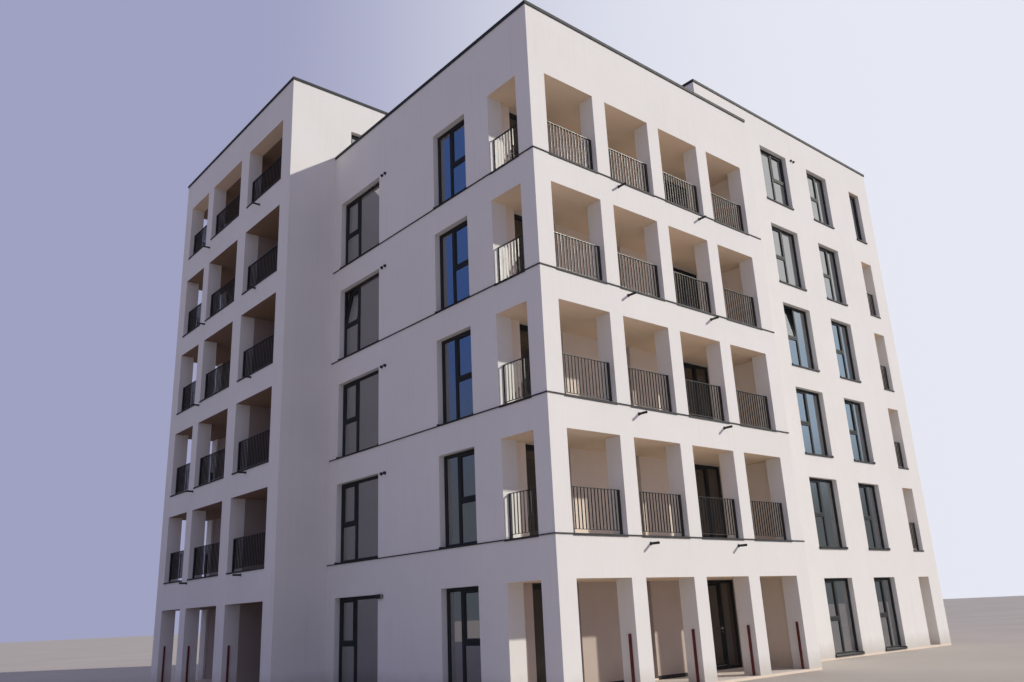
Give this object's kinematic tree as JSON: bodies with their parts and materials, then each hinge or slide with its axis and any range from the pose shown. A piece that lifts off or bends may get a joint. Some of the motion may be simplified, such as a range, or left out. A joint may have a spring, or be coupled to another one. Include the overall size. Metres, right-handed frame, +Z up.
{
  "type": "apartment block",
  "caption": "White rendered apartment block with a tall L-shaped main block, a lower corner block under a roof terrace, open loggias with metal railings and dark-framed windows.",
  "frame": {"origin": "on the ground, at the middle of the block's bounding box", "axes": "+Z up, +X east along the sunlit loggia front, +Y north away from it"},
  "size_m": [22.84, 19.13, 18.92],
  "materials": {
    "render": "smooth white mineral render",
    "concrete": "smooth concrete and pale ceiling plaster",
    "anthracite_metal": "satin powder coat",
    "window_frame": "satin powder coat",
    "glass": "clear double glazing",
    "primer": "matt red primer"
  },
  "bodies": {
    "building": {"ground_slab": "concrete", "ground_floor": "concrete", "floor_slabs": "concrete", "top_floor_slab": "concrete", "roof_slab": "concrete", "loggia_floors": "concrete", "corner_piers": "render", "corner_spandrels": "render", "corner_west_wall": "render", "corner_ground_wall": "render", "loggia_back_walls": "render", "loggia_end_walls": "render", "loggia_top_walls": "render", "string_courses": "anthracite_metal", "corner_coping": "anthracite_metal", "corner_railings": "anthracite_metal", "wing_piers": "render", "wing_spandrels": "render", "wing_partitions": "render", "wing_railings": "anthracite_metal", "terrace_north_wall": "render", "terrace_east_wall": "render", "main_south_wall": "render", "main_coping": "anthracite_metal", "east_piers": "render", "east_spandrels": "render", "east_wall": "render", "east_top_wall": "render", "east_railings": "anthracite_metal", "north_wall": "render", "west_window_frames": "window_frame", "south_window_frames": "window_frame", "east_window_frames": "window_frame", "north_window_frames": "window_frame", "loggia_door_frames": "window_frame", "terrace_door_frames": "window_frame", "ground_door_frames": "window_frame", "window_glass": "glass", "loggia_door_glass": "glass", "window_sills": "anthracite_metal", "rain_spouts": "anthracite_metal", "wall_vents": "anthracite_metal", "ground_posts": "primer", "wall_lamp": "anthracite_metal"},
    "door_1": {"door_leaf_1": "window_frame", "door_glass_1": "glass"},
    "door_2": {"door_leaf_2": "window_frame", "door_glass_2": "glass"}
  },
  "joints": [
    {"name": "door_1_swing", "type": "hinge", "parent": "building", "child": "door_1", "pos_m": [-8.69, -7.3755, 1.1], "axis": [0, 0, 1], "range_deg": [0, 90]},
    {"name": "door_2_swing", "type": "hinge", "parent": "building", "child": "door_2", "pos_m": [-2.54, -7.3755, 1.1], "axis": [0, 0, 1], "range_deg": [0, 90]}
  ]
}
